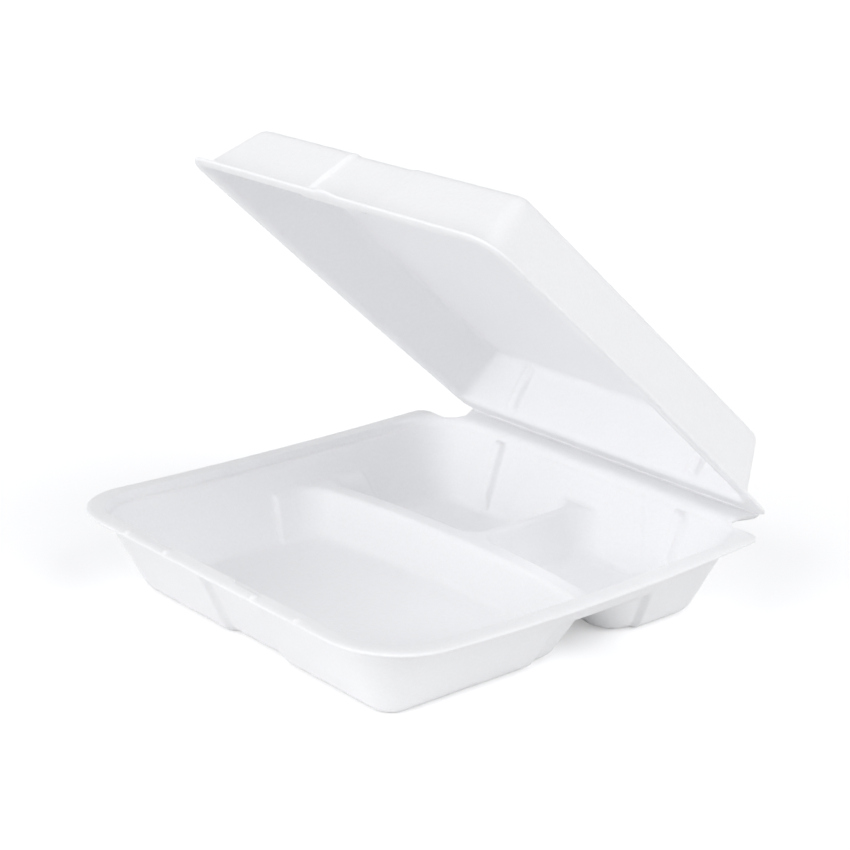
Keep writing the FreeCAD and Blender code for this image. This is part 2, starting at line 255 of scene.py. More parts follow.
def bow(y, bulge):
    """Sideways bulge of a side at y: a parabola that is full halfway along the rim."""
    middle, half = (FRONT_Y + BACK_Y) / 2, (BACK_Y - FRONT_Y) / 2
    return bulge * np.clip(1 - ((y - middle) / half) ** 2, 0, 1)


def rim_level(y, sag):
    """Height of the rim's top: it sags as a circle's arc between the corners and is level behind them."""
    radius = (BACK_Y ** 2 + sag ** 2) / (2 * sag)
    inside = np.clip(np.abs(y), 0, BACK_Y)
    return RIM_Z - sag + radius - np.sqrt(radius ** 2 - inside ** 2)


def flute(x, along, proud):
    """Flat-topped rib up a wall: full across its middle, eased down at both sides, times the fade at its ends."""
    away = np.abs(np.abs(x) - FLUTE_X) / FLUTE_HALF
    return proud * (1 - smooth(FLUTE_FLAT, 1.0, away)) * along


def wall_folds(x, z):
    """Slanting folds in the back wall: each rises gently towards its line and drops off sharply beyond it."""
    total = np.zeros_like(z)
    for side, place, slant, proud in FOLDS:
        past = side * x - place - (FOLD_Z - z) * slant
        total = total + proud * smooth(-FOLD_RISE, 0.0, past) * (1 - smooth(0.0, FOLD_DROP, past))
    return total * smooth(*FOLD_FOOT, z)


def lock_ribs(x, y):
    """Height of the pinched ribs on the front lip: the top of a lying round bar with ball ends."""
    height = np.zeros_like(x)
    for centre in LOCK_RIBS:
        away = np.hypot(np.abs(x) - centre, y - np.clip(y, *LOCK_RIB_SPAN))
        bar = np.sqrt(np.maximum(LOCK_RIB_RADIUS ** 2 - away ** 2, 0)) - LOCK_RIB_RADIUS + LOCK_RIB_PROUD
        height = np.maximum(height, bar)
    return height


def lock_scallops(x, y):
    """How far the lip's inner step swings out towards the front edge, in two flat-bottomed scallops."""
    reach = np.zeros_like(x)
    for centre, half in LOCK_SCALLOPS:
        reach = np.maximum(reach, 1 - smooth(LOCK_SCALLOP_FLAT, 1.0, np.abs(x - centre) / half))
    return LOCK_SCALLOP_REACH * reach * (y < LOCK_SCALLOP_BACK)


def tray_walls(x, y, z, panel, proud):
    """Plan distance from the tray's four leaning walls, with their pressed-in panels and stiffening flutes."""
    share = z / RIM_Z
    half = RIM_HALF - FLANGE - LEDGE - (LEDGE_Z - z) * tan(SIDE_DRAFT)
    half = half + bow(y, FLOOR_BOW + (SIDE_BOW - FLOOR_BOW) * share)
    ahead = y - z * tan(SIDE_PANEL_FRONT_LEAN) - SIDE_PANEL_FRONT
    behind = SIDE_PANEL_BACK - z * tan(SIDE_PANEL_BACK_LEAN) - y
    pressed = smooth(-PANEL_STEP, 0, ahead) * smooth(-PANEL_STEP, 0, behind)
    half = half - panel * pressed * (1 - smooth(*SIDE_PANEL_TOP, z))
    front = FRONT_Y + FLANGE + LEDGE + (LEDGE_Z - z) * tan(FRONT_DRAFT)
    front = front + panel * (1 - smooth(*FRONT_PANEL_EASE, np.abs(x) - FRONT_PANEL_HALF))
    back = BACK_EDGE - (RIM_Z - z) * tan(BACK_DRAFT)
    back = back - flute(x - REAR_SHIFT, smooth(*FLUTE_FOOT, z), proud) - wall_folds(x, z)
    r_front, r_back = (foot + (RIM_CORNER - foot) * share for foot in FLOOR_CORNERS)
    return rounded_box(x, y, half, front, back, r_front, r_back)


def tray_space(sizes, x, y, z):
    """Free distance above the tray's upper face at points x, y, z: negative in the foam.

    Walls, floor and the dividers' faces are distances to planes or cones. Concave corners take round_min and the
    dividers' crests round_max, so that each compartment is a rounded pocket. The lip is a slab around them.
    """
    wall = tray_walls(x, y, z, sizes.panel / MM, sizes.flute / MM) * cos(WALL_LEAN)
    away = np.hypot(x, y - (DIVIDER_Y - DIVIDER_BOW)) - DIVIDER_BOW
    drop = sizes.crest / MM - z
    ahead = (-away - DIVIDER_HALF - drop * tan(DIVIDER_FRONT_DRAFT)) * cos(DIVIDER_FRONT_DRAFT)
    behind = (away - DIVIDER_HALF - drop * tan(DIVIDER_BACK_DRAFT)) * cos(DIVIDER_BACK_DRAFT)
    beside = (np.abs(x - REAR_SHIFT) - SECOND_HALF - drop * tan(SECOND_DRAFT)) * cos(SECOND_DRAFT)
    rear = round_min(round_min(behind, beside, DIVIDER_CORNER), wall, CORNER + 1)
    pocket = np.maximum(round_min(ahead, wall, CORNER), rear)
    free = np.minimum(wall, round_max(pocket, -drop, sizes.crest_round / MM))
    free = round_min(free, z - SHEET, sizes.floor_round / MM, sin(FLOOR_MEET))
    collar = rounded_box(x, y + lock_scallops(x, y), RIM_HALF - FLANGE + bow(y, SIDE_BOW), FRONT_Y + FLANGE,
                         BACK_EDGE, FRONT_RADIUS - FLANGE, COLLAR_BACK_RADIUS)
    level = rim_level(y, sizes.sag / MM)
    step = round_min(collar - (level - z) * tan(STEP_LEAN), z - (level - STEP), STEP_FOOT_ROUND)
    rolled = LIP_TOP_ROUND + REAR_ROLL * smooth(*REAR_ROLL_SPAN, y)
    return round_max(round_max(free, step, LIP_TOP_ROUND), z - level - lock_ribs(x, y), rolled)


def solve_height(space, x, y, level, low, high, steps=34):
    """Height where space(x, y, z) equals level, found by halving the span between low and high."""
    bottom, top = np.full_like(x, low), np.full_like(x, high)
    for _ in range(steps):
        middle = (bottom + top) / 2
        above = space(x, y, middle) > level
        top = np.where(above, middle, top)
        bottom = np.where(above, bottom, middle)
    return (bottom + top) / 2


def arc_points(cx, cy, radius, start, end, count=40):
    """Points on a circle's arc, angles in degrees."""
    angle = np.radians(np.linspace(start, end, count))
    return np.stack([cx + radius * np.cos(angle), cy + radius * np.sin(angle)], axis=1)


def spaced(*spans):
    """Joined runs of evenly spaced values; each span is (start, end, step)."""
    parts = []
    for start, end, step in spans:
        count = max(1, int(round(abs(end - start) / step)))
        parts.append(np.linspace(start, end, count + 1)[:-1])
    return np.concatenate(parts + [[spans[-1][1]]])


def length_along(points):
    """Running length of a polyline at each of its points."""
    return np.concatenate([[0], np.cumsum(np.hypot(*np.diff(points, axis=0).T))])


def lay_along(run, at, low, high, base):
    """Points on the polyline run for the rising coordinates at.

    Between low and high a coordinate c lies at length base + c, straight across from its grid line. The lines
    outside them fan out evenly over the rest of the run.
    """
    length = length_along(run)
    place = np.interp(at, [at[0], low, high, at[-1]], [0, base + low, base + high, length[-1]])
    return np.stack([np.interp(place, length, run[:, 0]), np.interp(place, length, run[:, 1])], axis=1)


def ring_points(low, side, high, split, xs, side_ys, spans):
    """A closed ring of plan points on an outline that is symmetric about X = 0.

    low is the front right corner's arc, side the right side and high the run from there to the back edge's end.
    The front corner is shared halfway, and the back one at index split of high. spans holds how far in X and
    between which Y the grid's lines go straight across.
    """
    flip = np.array([-1.0, 1.0])
    half = len(low) // 2
    front_half = np.concatenate([[[0, low[0, 1]]], low[:half + 1]])
    front = np.concatenate([(front_half * flip)[:0:-1], front_half])
    right = np.concatenate([low[half:], side[1:], high[1:split + 1]])
    back_half = np.concatenate([high[split:], [[0, high[-1, 1]]]])
    back = np.concatenate([back_half, (back_half * flip)[-2::-1]])
    reach, near, far = spans
    start = length_along(low[half:])[-1] - side[0, 1]
    front_ring = lay_along(front, xs, -reach, reach, length_along(front)[-1] / 2)
    right_ring = lay_along(right, side_ys, near, far, start)
    back_ring = lay_along(back, xs, -reach, reach, length_along(back)[-1] / 2)
    left_ring = (right_ring * flip)[::-1]
    return np.concatenate([front_ring[:-1], right_ring[:-1], back_ring[:-1], left_ring[:-1]])


def o_grid(grid, rings):
    """Points and outward-wound quads of a rectangular grid with closed rings around its edge."""
    rows, columns = grid.shape[:2]
    index = np.arange(rows * columns).reshape(rows, columns)
    cells = np.stack([index[:-1, :-1], index[:-1, 1:], index[1:, 1:], index[1:, :-1]], axis=-1)
    last = np.concatenate([index[0, :-1], index[:-1, -1], index[-1, :0:-1], index[:0:-1, 0]])
    quads = [cells.reshape(-1, 4)]
    total = rows * columns
    for ring in rings:
        now = np.arange(total, total + len(ring))
        total += len(ring)
        quads.append(np.stack([last, now, np.roll(now, -1), np.roll(last, -1)], axis=-1))
        last = now
    return np.concatenate([grid.reshape(-1, 2)] + rings), np.concatenate(quads), last


def edge_of(grid):
    """The grid's outer points, counter-clockwise from its front left corner."""
    return np.concatenate([grid[0, :-1], grid[:-1, -1], grid[-1, :0:-1], grid[:0:-1, 0]])


def symmetric(right):
    """Lines at the given distances on both sides of the middle."""
    return np.concatenate([-right[:0:-1], right])


def make_mesh(name, vertices, faces, material):
    """A smooth-shaded mesh object from points in millimetres."""
    mesh = bpy.data.meshes.new(name)
    mesh.from_pydata(vertices * MM, [], faces.tolist())
    mesh.polygons.foreach_set("use_smooth", np.ones(len(mesh.polygons), bool))
    mesh.materials.append(material)
    mesh.update()
    item = bpy.data.objects.new(name, mesh)
    bpy.context.scene.collection.objects.link(item)
    return item


def shell_faces(quads, rim, count):
    """Quads of the upper face, of the lower face turned over, and of the band between their rims."""
    under = quads[:, ::-1] + count
    after = np.roll(rim, -1)
    band = np.stack([rim, rim + count, after + count, after], axis=-1)
    return np.concatenate([quads, under, band])


def lip_edge(points, upper, lower, ring):
    """Thin the sheet towards its cut edge, and round the edge.

    The outermost rings of both faces close in on each other by a square law, and over the last of it by a
    circle's arc. Where the crease has thinned the sheet already, they close in by less.
    """
    count = len(EDGE_INSETS)
    rim = points[-ring * count:].reshape(count, ring, 2)
    inset = np.hypot(*(rim - rim[-1:]).transpose(2, 0, 1)).ravel()
    short = np.clip(LIP_ROUND - inset, 0, LIP_ROUND)
    drop = LIP_ROUND - np.sqrt(LIP_ROUND ** 2 - short ** 2)
    drop += LIP_THIN * np.clip(1 - inset / LIP_REACH, 0, 1) ** 2
    thick = (upper - lower)[-ring * count:]
    upper[-ring * count:] -= drop * thick / SHEET
    lower[-ring * count:] += drop * thick / SHEET


def thinning(y):
    """How much of the sheet's thickness the crease takes: a straight wedge over its last few millimetres."""
    return (SHEET - CREASE_SHEET) * np.clip((y - TRAY_BACK_Y + CREASE_RUN) / CREASE_RUN, 0, 1)


def sheet_shell(name, space, grid, rings, span, thinned, turn, material):
    """A sheet of foam over a plan grid, as one closed mesh.

    Its upper face is where space is 0 and its lower face where space is minus the sheet's thickness, both found
    upwards over the same plan points and joined around the outer ring. The crease thins the sheet from below or
    above, and turn then moves it into the frame.
    """
    points, quads, rim = o_grid(grid, rings)
    x, y = points.T
    upper = solve_height(space, x, y, 0.0, *span)
    lower = solve_height(space, x, y, -SHEET, *span)
    if thinned == "below":
        lower += thinning(y)
    else:
        upper -= thinning(y)
    lip_edge(points, upper, lower, len(rings[-1]))
    vertices = np.concatenate([np.stack([x, y, upper], axis=1), np.stack([x, y, lower], axis=1)])
    return make_mesh(name, turn(vertices), shell_faces(quads, rim, len(points)), material)


def right_outline(half, bulge, front, back, near, far, count=40):
    """Front corner's arc, bulging side and back corner's arc of a plan outline's right half."""
    side_y = np.linspace(front + near, back - far, 60)
    side = np.stack([half + bulge(side_y), side_y], axis=1)
    low = arc_points(side[0, 0] - near, side_y[0], near, -90, 0)
    high = arc_points(side[-1, 0] - far, side_y[-1], far, 0, 90, count)
    return low, side, high


def rings_between(edge, middle, lip, inner, outer, width):
    """Rings from the grid's edge to the middle outline, and from there over the lip's width to its cut edge."""
    rings = [edge + (middle - edge) * share for share in spaced(*inner)[1:]]
    return rings + [middle + (lip - middle) * share for share in (*outer, *(1 - EDGE_INSETS / width))]


def tray_rings(edge, xs, side_ys):
    """Rings from the grid's edge out to the step inside the lip, and on to the lip's own outline."""
    bulge = partial(bow, bulge=SIDE_BOW)
    low, side, high = right_outline(RIM_HALF - FLANGE, bulge, FRONT_Y + FLANGE, BACK_EDGE, FRONT_RADIUS - FLANGE,
                                    COLLAR_BACK_RADIUS)
    step = ring_points(low, side, high, len(high) // 2, xs, side_ys, TRAY_STRAIGHT)
    low, side, corner = right_outline(RIM_HALF, bulge, FRONT_Y, BACK_Y, FRONT_RADIUS, BACK_RADIUS, 12)
    turn = math.degrees(math.acos((NECK_X - HINGE_HALF) / NECK_RADIUS))
    straight = np.array([[NECK_START, BACK_Y]])
    neck = arc_points(NECK_X, BACK_Y + NECK_RADIUS, NECK_RADIUS, -90, -180 - turn)
    high = np.concatenate([corner, straight, neck, [[HINGE_HALF, TRAY_BACK_Y]]])
    lip = ring_points(low, side, high, len(corner), xs, side_ys, TRAY_STRAIGHT)
    return rings_between(edge, step, lip, TRAY_INNER_RINGS, TRAY_LIP_RINGS, FLANGE)


def tray_grid():
    """Columns and plan points of the tray's grid, whose rows bend with the main divider."""
    xs, ys = symmetric(spaced(*TRAY_COLUMNS)), spaced(*TRAY_ROWS)
    gx, gy = np.meshgrid(xs, ys)
    bend = smooth(-40, 20, gy) * (1 - smooth(50, 85, gy))
    return xs, np.stack([gx, gy - bend * (DIVIDER_BOW - np.sqrt(DIVIDER_BOW ** 2 - gx ** 2))], axis=-1)


def build_tray(sizes, material):
    """The tray with its compartments, dividers, lip and hinge strip, as one closed shell."""
    xs, grid = tray_grid()
    rings = tray_rings(edge_of(grid), xs, grid[:, -1, 1])
    space = partial(tray_space, sizes)
    return sheet_shell("tray_shell", space, grid, rings, TRAY_SPAN, "below", np.copy, material)


def lid_bulge(y, bulge):
    """Sideways bulge of the lid's sides at y, a parabola between its front and back corners."""
    middle, half = (LID_FRONT_Y + TRAY_BACK_Y) / 2, (TRAY_BACK_Y - LID_FRONT_Y) / 2
    return bulge * np.clip(1 - ((y - middle) / half) ** 2, 0, 1)


def lid_space(sizes, x, y, z):
    """Free distance above the closed lid's outer face: four leaning walls and a crown, standing on a flat lip."""
    rise = z - LID_Z
    share = rise / LID_HEIGHT
    half = LID_HALF - LID_FLANGE - rise * tan(LID_SIDE_DRAFT) + SHEET / cos(LID_SIDE_DRAFT)
    half = half + lid_bulge(y, LID_BOW + (LID_CROWN_BOW - LID_BOW) * share)
    front = LID_FRONT_Y + LID_FLANGE + rise * tan(LID_FRONT_DRAFT) - SHEET / cos(LID_FRONT_DRAFT)
    pressed = 1 - smooth(FRONT_PANEL_HALF, FRONT_PANEL_HALF + PANEL_STEP, np.abs(x))
    front = front + sizes.panel / MM * pressed
    back = LID_FOOT_Y - rise * tan(LID_BACK_DRAFT) + SHEET / cos(LID_BACK_DRAFT)
    back = back - flute(x, smooth(*LID_FLUTE_FOOT, rise) * (1 - smooth(*LID_FLUTE_TOP, rise)), sizes.flute / MM)
    radius = LID_FOOT_RADIUS + (LID_CROWN_RADIUS - LID_FOOT_RADIUS) * share
    wall = -rounded_box(x, y, half, front, back, radius, radius) * cos(LID_WALL_LEAN)
    dome = round_max(wall, z - LID_TOP, sizes.crown_round / MM, sin(LID_MEET))
    return round_min(dome, z - (LID_Z + SHEET), LID_FOOT_ROUND, sin(LID_MEET))


def swing_open(points):
    """Turn points from the closed lid to the open one about the crease."""
    c, s = cos(OPEN_ANGLE), sin(OPEN_ANGLE)
    dy, dz = points[:, 1] - CREASE_Y, points[:, 2] - CREASE_Z
    return np.stack([points[:, 0], CREASE_Y + dy * c + dz * s, CREASE_Z - dy * s + dz * c], axis=1)


def thumb_tab(lip, reach):
    """How far the thumb tab stands out of the lid's front lip: a raised cosine in the middle."""
    bump = 0.5 + 0.5 * np.cos(np.pi * np.clip(np.abs(lip[:, 0]) / TAB_HALF, 0, 1))
    return reach * bump * (lip[:, 1] < LID_FRONT_Y + 1)


def lid_rings(edge, xs, ys, tab):
    """Rings from the grid's edge out to the foot of the dome's walls, and on to the lid's lip."""
    reach = LID_FLANGE - LID_FOOT_INSET
    bulge = partial(lid_bulge, bulge=LID_BOW)
    low, side, high = right_outline(LID_HALF - reach, bulge, LID_FRONT_Y + reach, LID_FOOT_Y + LID_FOOT_INSET,
                                    LID_FOOT_RING, LID_FOOT_RING)
    foot = ring_points(low, side, high, len(high) // 2, xs, ys, LID_STRAIGHT)
    low, side, high = right_outline(LID_HALF, bulge, LID_FRONT_Y, TRAY_BACK_Y, LID_FRONT_RADIUS, LID_BACK_RADIUS)
    lip = ring_points(low, side, high, len(high) // 2, xs, ys, LID_STRAIGHT)
    lip[:, 1] -= thumb_tab(lip, tab)
    return rings_between(edge, foot, lip, LID_INNER_RINGS, LID_LIP_RINGS, reach + LID_LIP_SPARE)


def build_lid(sizes, material):
    """The lid's domed shell, worked out closed and then swung open about the crease."""
    xs, ys = symmetric(spaced(*LID_COLUMNS)), spaced(*LID_ROWS)
    grid = np.stack(np.meshgrid(xs, ys), axis=-1)
    rings = lid_rings(edge_of(grid), xs, ys, sizes.tab / MM)
    space = partial(lid_space, sizes)
    return sheet_shell("lid_shell", space, grid, rings, LID_SPAN, "above", swing_open, material)


def build_web(material, thick=0.5, tuck=0.8, radius=0.55, short=0.6):
    """The living hinge: a thin web that bends around the crease and is tucked into both strips' edges.

    Its section follows an arc about the crease from the tray's side round the back to the lid's, with a straight
    end in each strip. The section is offset half its thickness both ways and carried along X, to short of the
    strips' ends.
    """
    turn = np.radians(np.linspace(-90, 90 - OPEN_ANGLE, 15))
    middle = np.stack([radius * np.cos(turn), radius * np.sin(turn)], axis=1)
    out = middle / radius
    along = np.stack([out[:, 1], -out[:, 0]], axis=1)
    middle = np.concatenate([[middle[0] + along[0] * tuck], middle, [middle[-1] - along[-1] * tuck]])
    out = np.concatenate([out[:1], out, out[-1:]])
    loop = np.concatenate([middle + out * thick / 2, (middle - out * thick / 2)[::-1]])
    xs = np.linspace(-HINGE_HALF + short, HINGE_HALF - short, 41)
    count, rows = len(loop), len(xs)
    points = np.empty((rows, count, 3))
    points[..., 0] = xs[:, None]
    points[..., 1:] = loop + (CREASE_Y, CREASE_Z)
    index = np.arange(rows * count).reshape(rows, count)
    after = np.roll(index, -1, axis=1)
    sides = np.stack([index[:-1], after[:-1], after[1:], index[1:]], axis=-1).reshape(-1, 4)
    half = count // 2
    strip = np.stack([index[:, :half - 1], index[:, count - 1:half:-1], index[:, count - 2:half - 1:-1],
                      index[:, 1:half]], axis=-1)
    ends = np.concatenate([strip[0], strip[-1][:, ::-1]])
    return make_mesh("crease_web", points.reshape(-1, 3), np.concatenate([sides, ends]), material)


def link(tree, output, socket):
    """Join an output socket to an input socket."""
    tree.links.new(output, socket)


def add_node(tree, kind, **values):
    """A shader node with the given input values; an underscore in a name stands for a space."""
    node = tree.nodes.new("ShaderNode" + kind)
    for name, value in values.items():
        node.inputs[name.replace("_", " ")].default_value = value
    return node


PORES_PER_BEAD = 0.45
WAVES_PER_METRE = 55
WAVE_DEPTH = 8  # in bead depths


def grain_group(name, bead, depth, mottle):
    """Fine grain of pressed foam beads as a group.

    Shade multiplies the colour, Patch says where the skin is glossier, and Normal carries the beads' and the
    sheet's waviness.
    """
    tree = bpy.data.node_groups.new(name, "ShaderNodeTree")
    tree.interface.new_socket("Vector", in_out="INPUT", socket_type="NodeSocketVector")
    for title, kind in (("Shade", "NodeSocketFloat"), ("Patch", "NodeSocketFloat"), ("Normal", "NodeSocketVector")):
        tree.interface.new_socket(title, in_out="OUTPUT", socket_type=kind)
    start, end = tree.nodes.new("NodeGroupInput"), tree.nodes.new("NodeGroupOutput")
    cells = add_node(tree, "TexVoronoi", Scale=1 / bead)
    pores = add_node(tree, "TexNoise", Scale=PORES_PER_BEAD / bead, Detail=3)
    waves = add_node(tree, "TexNoise", Scale=WAVES_PER_METRE, Detail=2)
    for texture in (cells, pores, waves):
        link(tree, start.outputs["Vector"], texture.inputs["Vector"])
    beads = add_node(tree, "Bump", Strength=1.0, Distance=depth)
    link(tree, cells.outputs["Distance"], beads.inputs["Height"])
    uneven = add_node(tree, "Bump", Strength=1.0, Distance=depth * WAVE_DEPTH)
    link(tree, waves.outputs["Fac"], uneven.inputs["Height"])
    link(tree, beads.outputs["Normal"], uneven.inputs["Normal"])
    link(tree, uneven.outputs["Normal"], end.inputs["Normal"])
    shade = add_node(tree, "MapRange", From_Min=0.3, From_Max=0.7, To_Min=1 - mottle)
    link(tree, pores.outputs["Fac"], shade.inputs["Value"])
    link(tree, shade.outputs["Result"], end.inputs["Shade"])
    link(tree, waves.outputs["Fac"], end.inputs["Patch"])
    return tree


def foam_material(foam):
    """White thermoformed foam: matt with a faint gloss that comes and goes, bead grain and light in its depth."""
    material = bpy.data.materials.new("white_foam")
    material.use_nodes = True
    tree = material.node_tree
    shader = tree.nodes["Principled BSDF"]
    place = add_node(tree, "TexCoord")
    grain = add_node(tree, "Group")
    grain.node_tree = grain_group("foam_grain", foam.bead, foam.grain, foam.mottle)
    link(tree, place.outputs["Object"], grain.inputs["Vector"])
    tint = add_node(tree, "Mix")
    tint.data_type, tint.blend_type = "RGBA", "MULTIPLY"
    tint.inputs["Factor"].default_value = 1.0
    tint.inputs["A"].default_value = (*foam.colour, 1)
    link(tree, grain.outputs["Shade"], tint.inputs["B"])
    link(tree, tint.outputs["Result"], shader.inputs["Base Color"])
    gloss = add_node(tree, "MapRange", From_Min=0.3, From_Max=0.7, To_Min=foam.roughness - foam.gloss,
                     To_Max=foam.roughness + foam.gloss)
    link(tree, grain.outputs["Patch"], gloss.inputs["Value"])
    link(tree, gloss.outputs["Result"], shader.inputs["Roughness"])
    link(tree, grain.outputs["Normal"], shader.inputs["Normal"])
    shader.inputs["Subsurface Weight"].default_value = foam.depth
    shader.inputs["Subsurface Radius"].default_value = (1.0, 1.0, 1.0)
    shader.inputs["Subsurface Scale"].default_value = foam.reach
    shader.inputs["IOR"].default_value = 1.35
    return material


def seen_directly(tree):
    """1 for rays from the camera, a reflection or through something clear, and 0 for the light on the object."""
    path = add_node(tree, "LightPath")
    total = path.outputs["Is Camera Ray"]
    for name in ("Is Glossy Ray", "Is Transmission Ray"):
        either = add_node(tree, "Math")
        either.operation = "MAXIMUM"
        link(tree, total, either.inputs[0])
        link(tree, path.outputs[name], either.inputs[1])
        total = either.outputs[0]
    return total


def blend_surface(tree, share, plain, seen, output):
    """Send a mix of two shaders to the output: plain at share 0 and seen at share 1."""
    mix = add_node(tree, "MixShader")
    link(tree, share, mix.inputs["Fac"])
    link(tree, plain, mix.inputs[1])
    link(tree, seen, mix.inputs[2])
    link(tree, mix.outputs["Shader"], tree.nodes[output].inputs["Surface"])


def studio_world(studio):
    """Studio light from all round, weaker towards straight above; seen directly it is plain white."""
    world = bpy.data.worlds.new("studio")
    bpy.context.scene.world = world
    world.use_nodes = True
    tree = world.node_tree
    light = tree.nodes["Background"]
    light.inputs["Color"].default_value = (*studio.ambient_colour, 1)
    place, part = add_node(tree, "TexCoord"), add_node(tree, "SeparateXYZ")
    fade = add_node(tree, "MapRange", To_Min=studio.ambient, To_Max=studio.ambient * studio.overhead)
    link(tree, place.outputs["Generated"], part.inputs[0])
    link(tree, part.outputs["Z"], fade.inputs["Value"])
    link(tree, fade.outputs["Result"], light.inputs["Strength"])
    white = add_node(tree, "Background", Color=(1, 1, 1, 1))
    blend_surface(tree, seen_directly(tree), light.outputs["Background"], white.outputs["Background"], "World Output")


def floor_material(studio):
    """White floor that keeps the object's shadow.

    Seen directly its colour is above 1, which makes up for its dimmer light, and a share of plain white lifts
    the shadow.
    """
    material = bpy.data.materials.new("studio_floor")
    material.use_nodes = True
    tree = material.node_tree
    shader = tree.nodes["Principled BSDF"]
    shader.inputs["Roughness"].default_value = 1.0
    shader.inputs["Specular IOR Level"].default_value = 0.0
    paint = add_node(tree, "Mix")
    paint.data_type = "RGBA"
    paint.inputs["A"].default_value = (*studio.floor_colour, 1)
    paint.inputs["B"].default_value = (*studio.floor_seen, 1)
    seen = seen_directly(tree)
    link(tree, seen, paint.inputs["Factor"])
    link(tree, paint.outputs["Result"], shader.inputs["Base Color"])
    share = add_node(tree, "Math")
    share.operation = "MULTIPLY"
    share.inputs[1].default_value = studio.floor_white
    link(tree, seen, share.inputs[0])
    white = add_node(tree, "Emission")
    blend_surface(tree, share.outputs[0], shader.outputs["BSDF"], white.outputs["Emission"], "Material Output")
    return material


def add_floor(studio):
    """A level square of floor under the object."""
    corners = np.array([[-1, -1, 0], [1, -1, 0], [1, 1, 0], [-1, 1, 0]]) * FLOOR_REACH
    floor = make_mesh("floor", corners, np.array([[0, 1, 2, 3]]), floor_material(studio))


def towards(azimuth, elevation):
    """Unit vector from the object towards a viewer or lamp; azimuth 0 is in front and 90 on the right."""
    return Vector((sin(azimuth) * cos(elevation), -cos(azimuth) * cos(elevation), sin(elevation)))


def add_lamp(name, strength, azimuth, elevation):
    """A broad distant lamp."""
    light = bpy.data.lights.new(name, "SUN")
    light.energy, light.angle = strength, math.radians(LAMP_SPREAD)
    lamp = bpy.data.objects.new(name, light)
    lamp.rotation_euler = towards(azimuth, elevation).to_track_quat("Z", "Y").to_euler()
    bpy.context.scene.collection.objects.link(lamp)


def add_camera(studio):
    """The photograph's camera: looking at a target from an azimuth and elevation, with a slight roll."""
    azimuth, elevation, roll = (math.degrees(angle) for angle in (studio.azimuth, studio.elevation, studio.roll))
    back = towards(azimuth, elevation)
    right = Vector((cos(azimuth), sin(azimuth), 0))
    up = back.cross(right)
    turned, upright = cos(roll) * right + sin(roll) * up, cos(roll) * up - sin(roll) * right
    data = bpy.data.cameras.new("camera")
    data.lens, data.sensor_width = studio.lens, 36
    data.clip_start = 0.05
    camera = bpy.data.objects.new("camera", data)
    turn = Matrix((turned, upright, back)).transposed().to_4x4()
    camera.matrix_world = Matrix.Translation(Vector(studio.target) + back * studio.distance) @ turn
    bpy.context.scene.collection.objects.link(camera)
    bpy.context.scene.camera = camera


def length_setting(name, description, default):
    """A length that is shown and typed in the scene's unit."""
    return FloatProperty(name=name, description=description, default=default, min=0, precision=4, unit="LENGTH",
                         subtype="DISTANCE")


def colour_setting(name, description, default, most=1.0):
    """A linear colour."""
    return FloatVectorProperty(name=name, description=description, default=default, min=0, max=most, subtype="COLOR")


def angle_setting(name, description, degrees):
    """An angle that is given in degrees."""
    return FloatProperty(name=name, description=description, default=math.radians(degrees), subtype="ANGLE",
                         unit="ROTATION")


def amount_setting(name, description, default):
    """A share or strength without a unit."""
    return FloatProperty(name=name, description=description, default=default, min=0, precision=3)


class TraySizes(bpy.types.PropertyGroup):
    """Sizes of the tray."""
    sag: length_setting("Rim sag", "How far the middle of each side of the rim hangs below its corners", 0.003)
    crest: length_setting("Divider height", "Table to the dividers' crest", 0.024)
    crest_round: length_setting("Crest rounding", "Radius along the dividers' crests", 0.0015)
    floor_round: length_setting("Floor rounding", "Radius between the floor and the walls", 0.006)
    panel: length_setting("Panel depth", "Depth of the shallow recesses in the front and side walls", 0.003)
    flute: length_setting("Flute height", "How far the flutes stand out of the back wall", 0.0034)


class LidSizes(bpy.types.PropertyGroup):
    """Sizes of the lid."""
    crown_round: length_setting("Crown rounding", "Outside radius around the lid's crown", 0.006)
    panel: length_setting("Panel depth", "Depth of the recess in the lid's front wall", 0.0018)
    flute: length_setting("Flute height", "How far the flutes stand into the lid's back wall", 0.0028)
    tab: length_setting("Thumb tab", "How far the thumb tab stands out of the front lip", 0.0024)


class FoamFinish(bpy.types.PropertyGroup):
    """Colour and skin of the foam."""
    colour: colour_setting("Foam", "Colour of the foam", (0.96, 0.963, 0.975))
    roughness: amount_setting("Roughness", "Middle roughness of the foam's skin", 0.5)
    bead: length_setting("Bead size", "Size of the foam's beads", 0.0007)
    grain: length_setting("Grain depth", "Depth of the bead pattern", 0.00003)
    mottle: amount_setting("Mottle", "How much darker the darkest spots are", 0.03)
    gloss: amount_setting("Gloss patches", "How far the roughness comes and goes", 0.08)
    depth: amount_setting("Depth", "Share of the light that goes through the foam's depth", 0.5)
    reach: length_setting("Light reach", "How far light spreads inside the foam", 0.0015)


